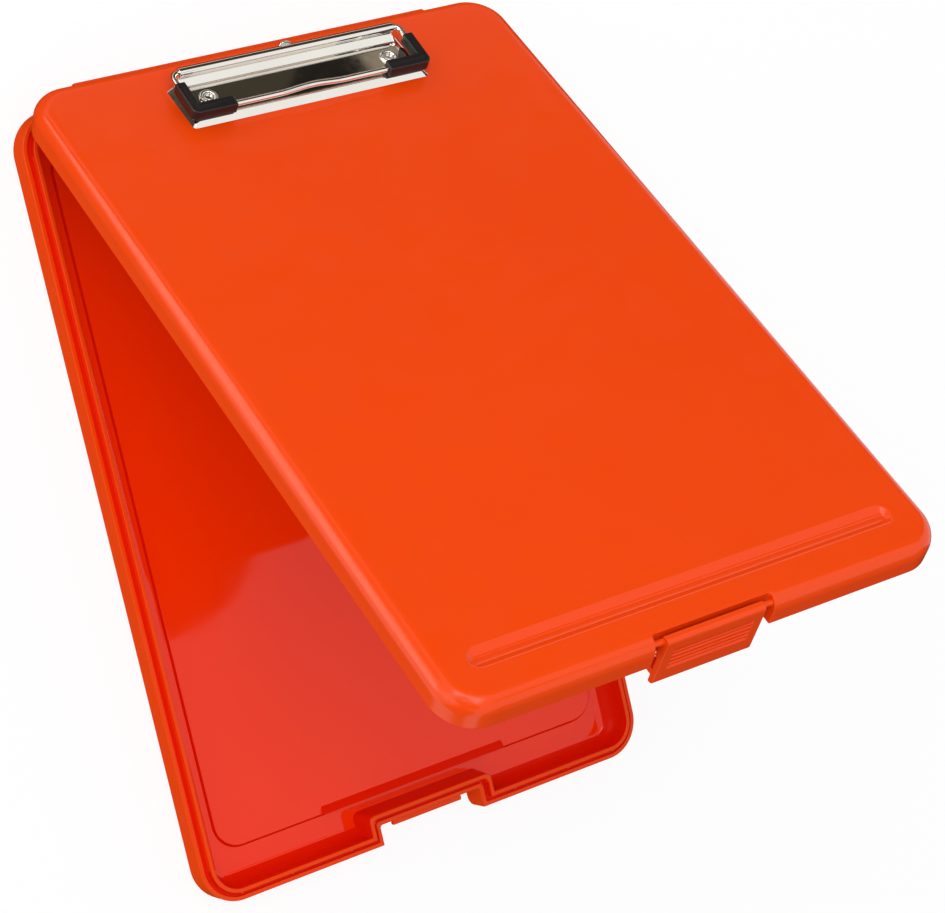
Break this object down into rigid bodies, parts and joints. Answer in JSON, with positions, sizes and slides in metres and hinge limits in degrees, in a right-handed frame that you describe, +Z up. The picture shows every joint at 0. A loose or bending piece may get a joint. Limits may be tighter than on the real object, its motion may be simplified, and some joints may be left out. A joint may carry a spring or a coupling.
{
  "type": "storage clipboard box",
  "caption": "Shallow moulded storage box for loose sheets whose hinged lid is a clipboard with a sprung wire clip, a pen groove and a front latch.",
  "frame": {"origin": "centre of the tray's flat underside, on the surface it lies on", "axes": "X along the hinge, +Y from the latch end towards the hinge, +Z up"},
  "size_m": [0.24, 0.3686, 0.2759],
  "materials": {
    "orange_plastic": "moulded, satin lid top and glossy tray",
    "bright_steel": "drawn wire",
    "chrome_steel": "bright plated sheet and wire",
    "black_rubber": "ribbed soft moulding"
  },
  "bodies": {
    "tray": {"tray": "orange_plastic", "hinge_pin": "bright_steel"},
    "lid": {"lid": "orange_plastic", "clip_plate": "chrome_steel", "rivet_left": "chrome_steel", "rivet_right": "chrome_steel"},
    "latch": {"latch": "orange_plastic"},
    "bail": {"wire_bail": "chrome_steel", "grip_left": "black_rubber", "grip_right": "black_rubber"}
  },
  "joints": [
    {"name": "lid_hinge", "type": "hinge", "parent": "tray", "child": "lid", "pos_m": [0, 0.1846, 0.015], "axis": [-1, 0, 0], "range_deg": [-44, 111]},
    {"name": "latch_pivot", "type": "hinge", "parent": "lid", "child": "latch", "pos_m": [0, -0.06898, 0.27267], "axis": [-1, 0, 0], "range_deg": [0, 35]},
    {"name": "bail_pivot", "type": "hinge", "parent": "lid", "child": "bail", "pos_m": [0, 0.18273, 0.04488], "axis": [-1, 0, 0], "range_deg": [0, 80], "stiffness_Nm_per_rad": 0.06, "springref_deg": -34.38}
  ]
}
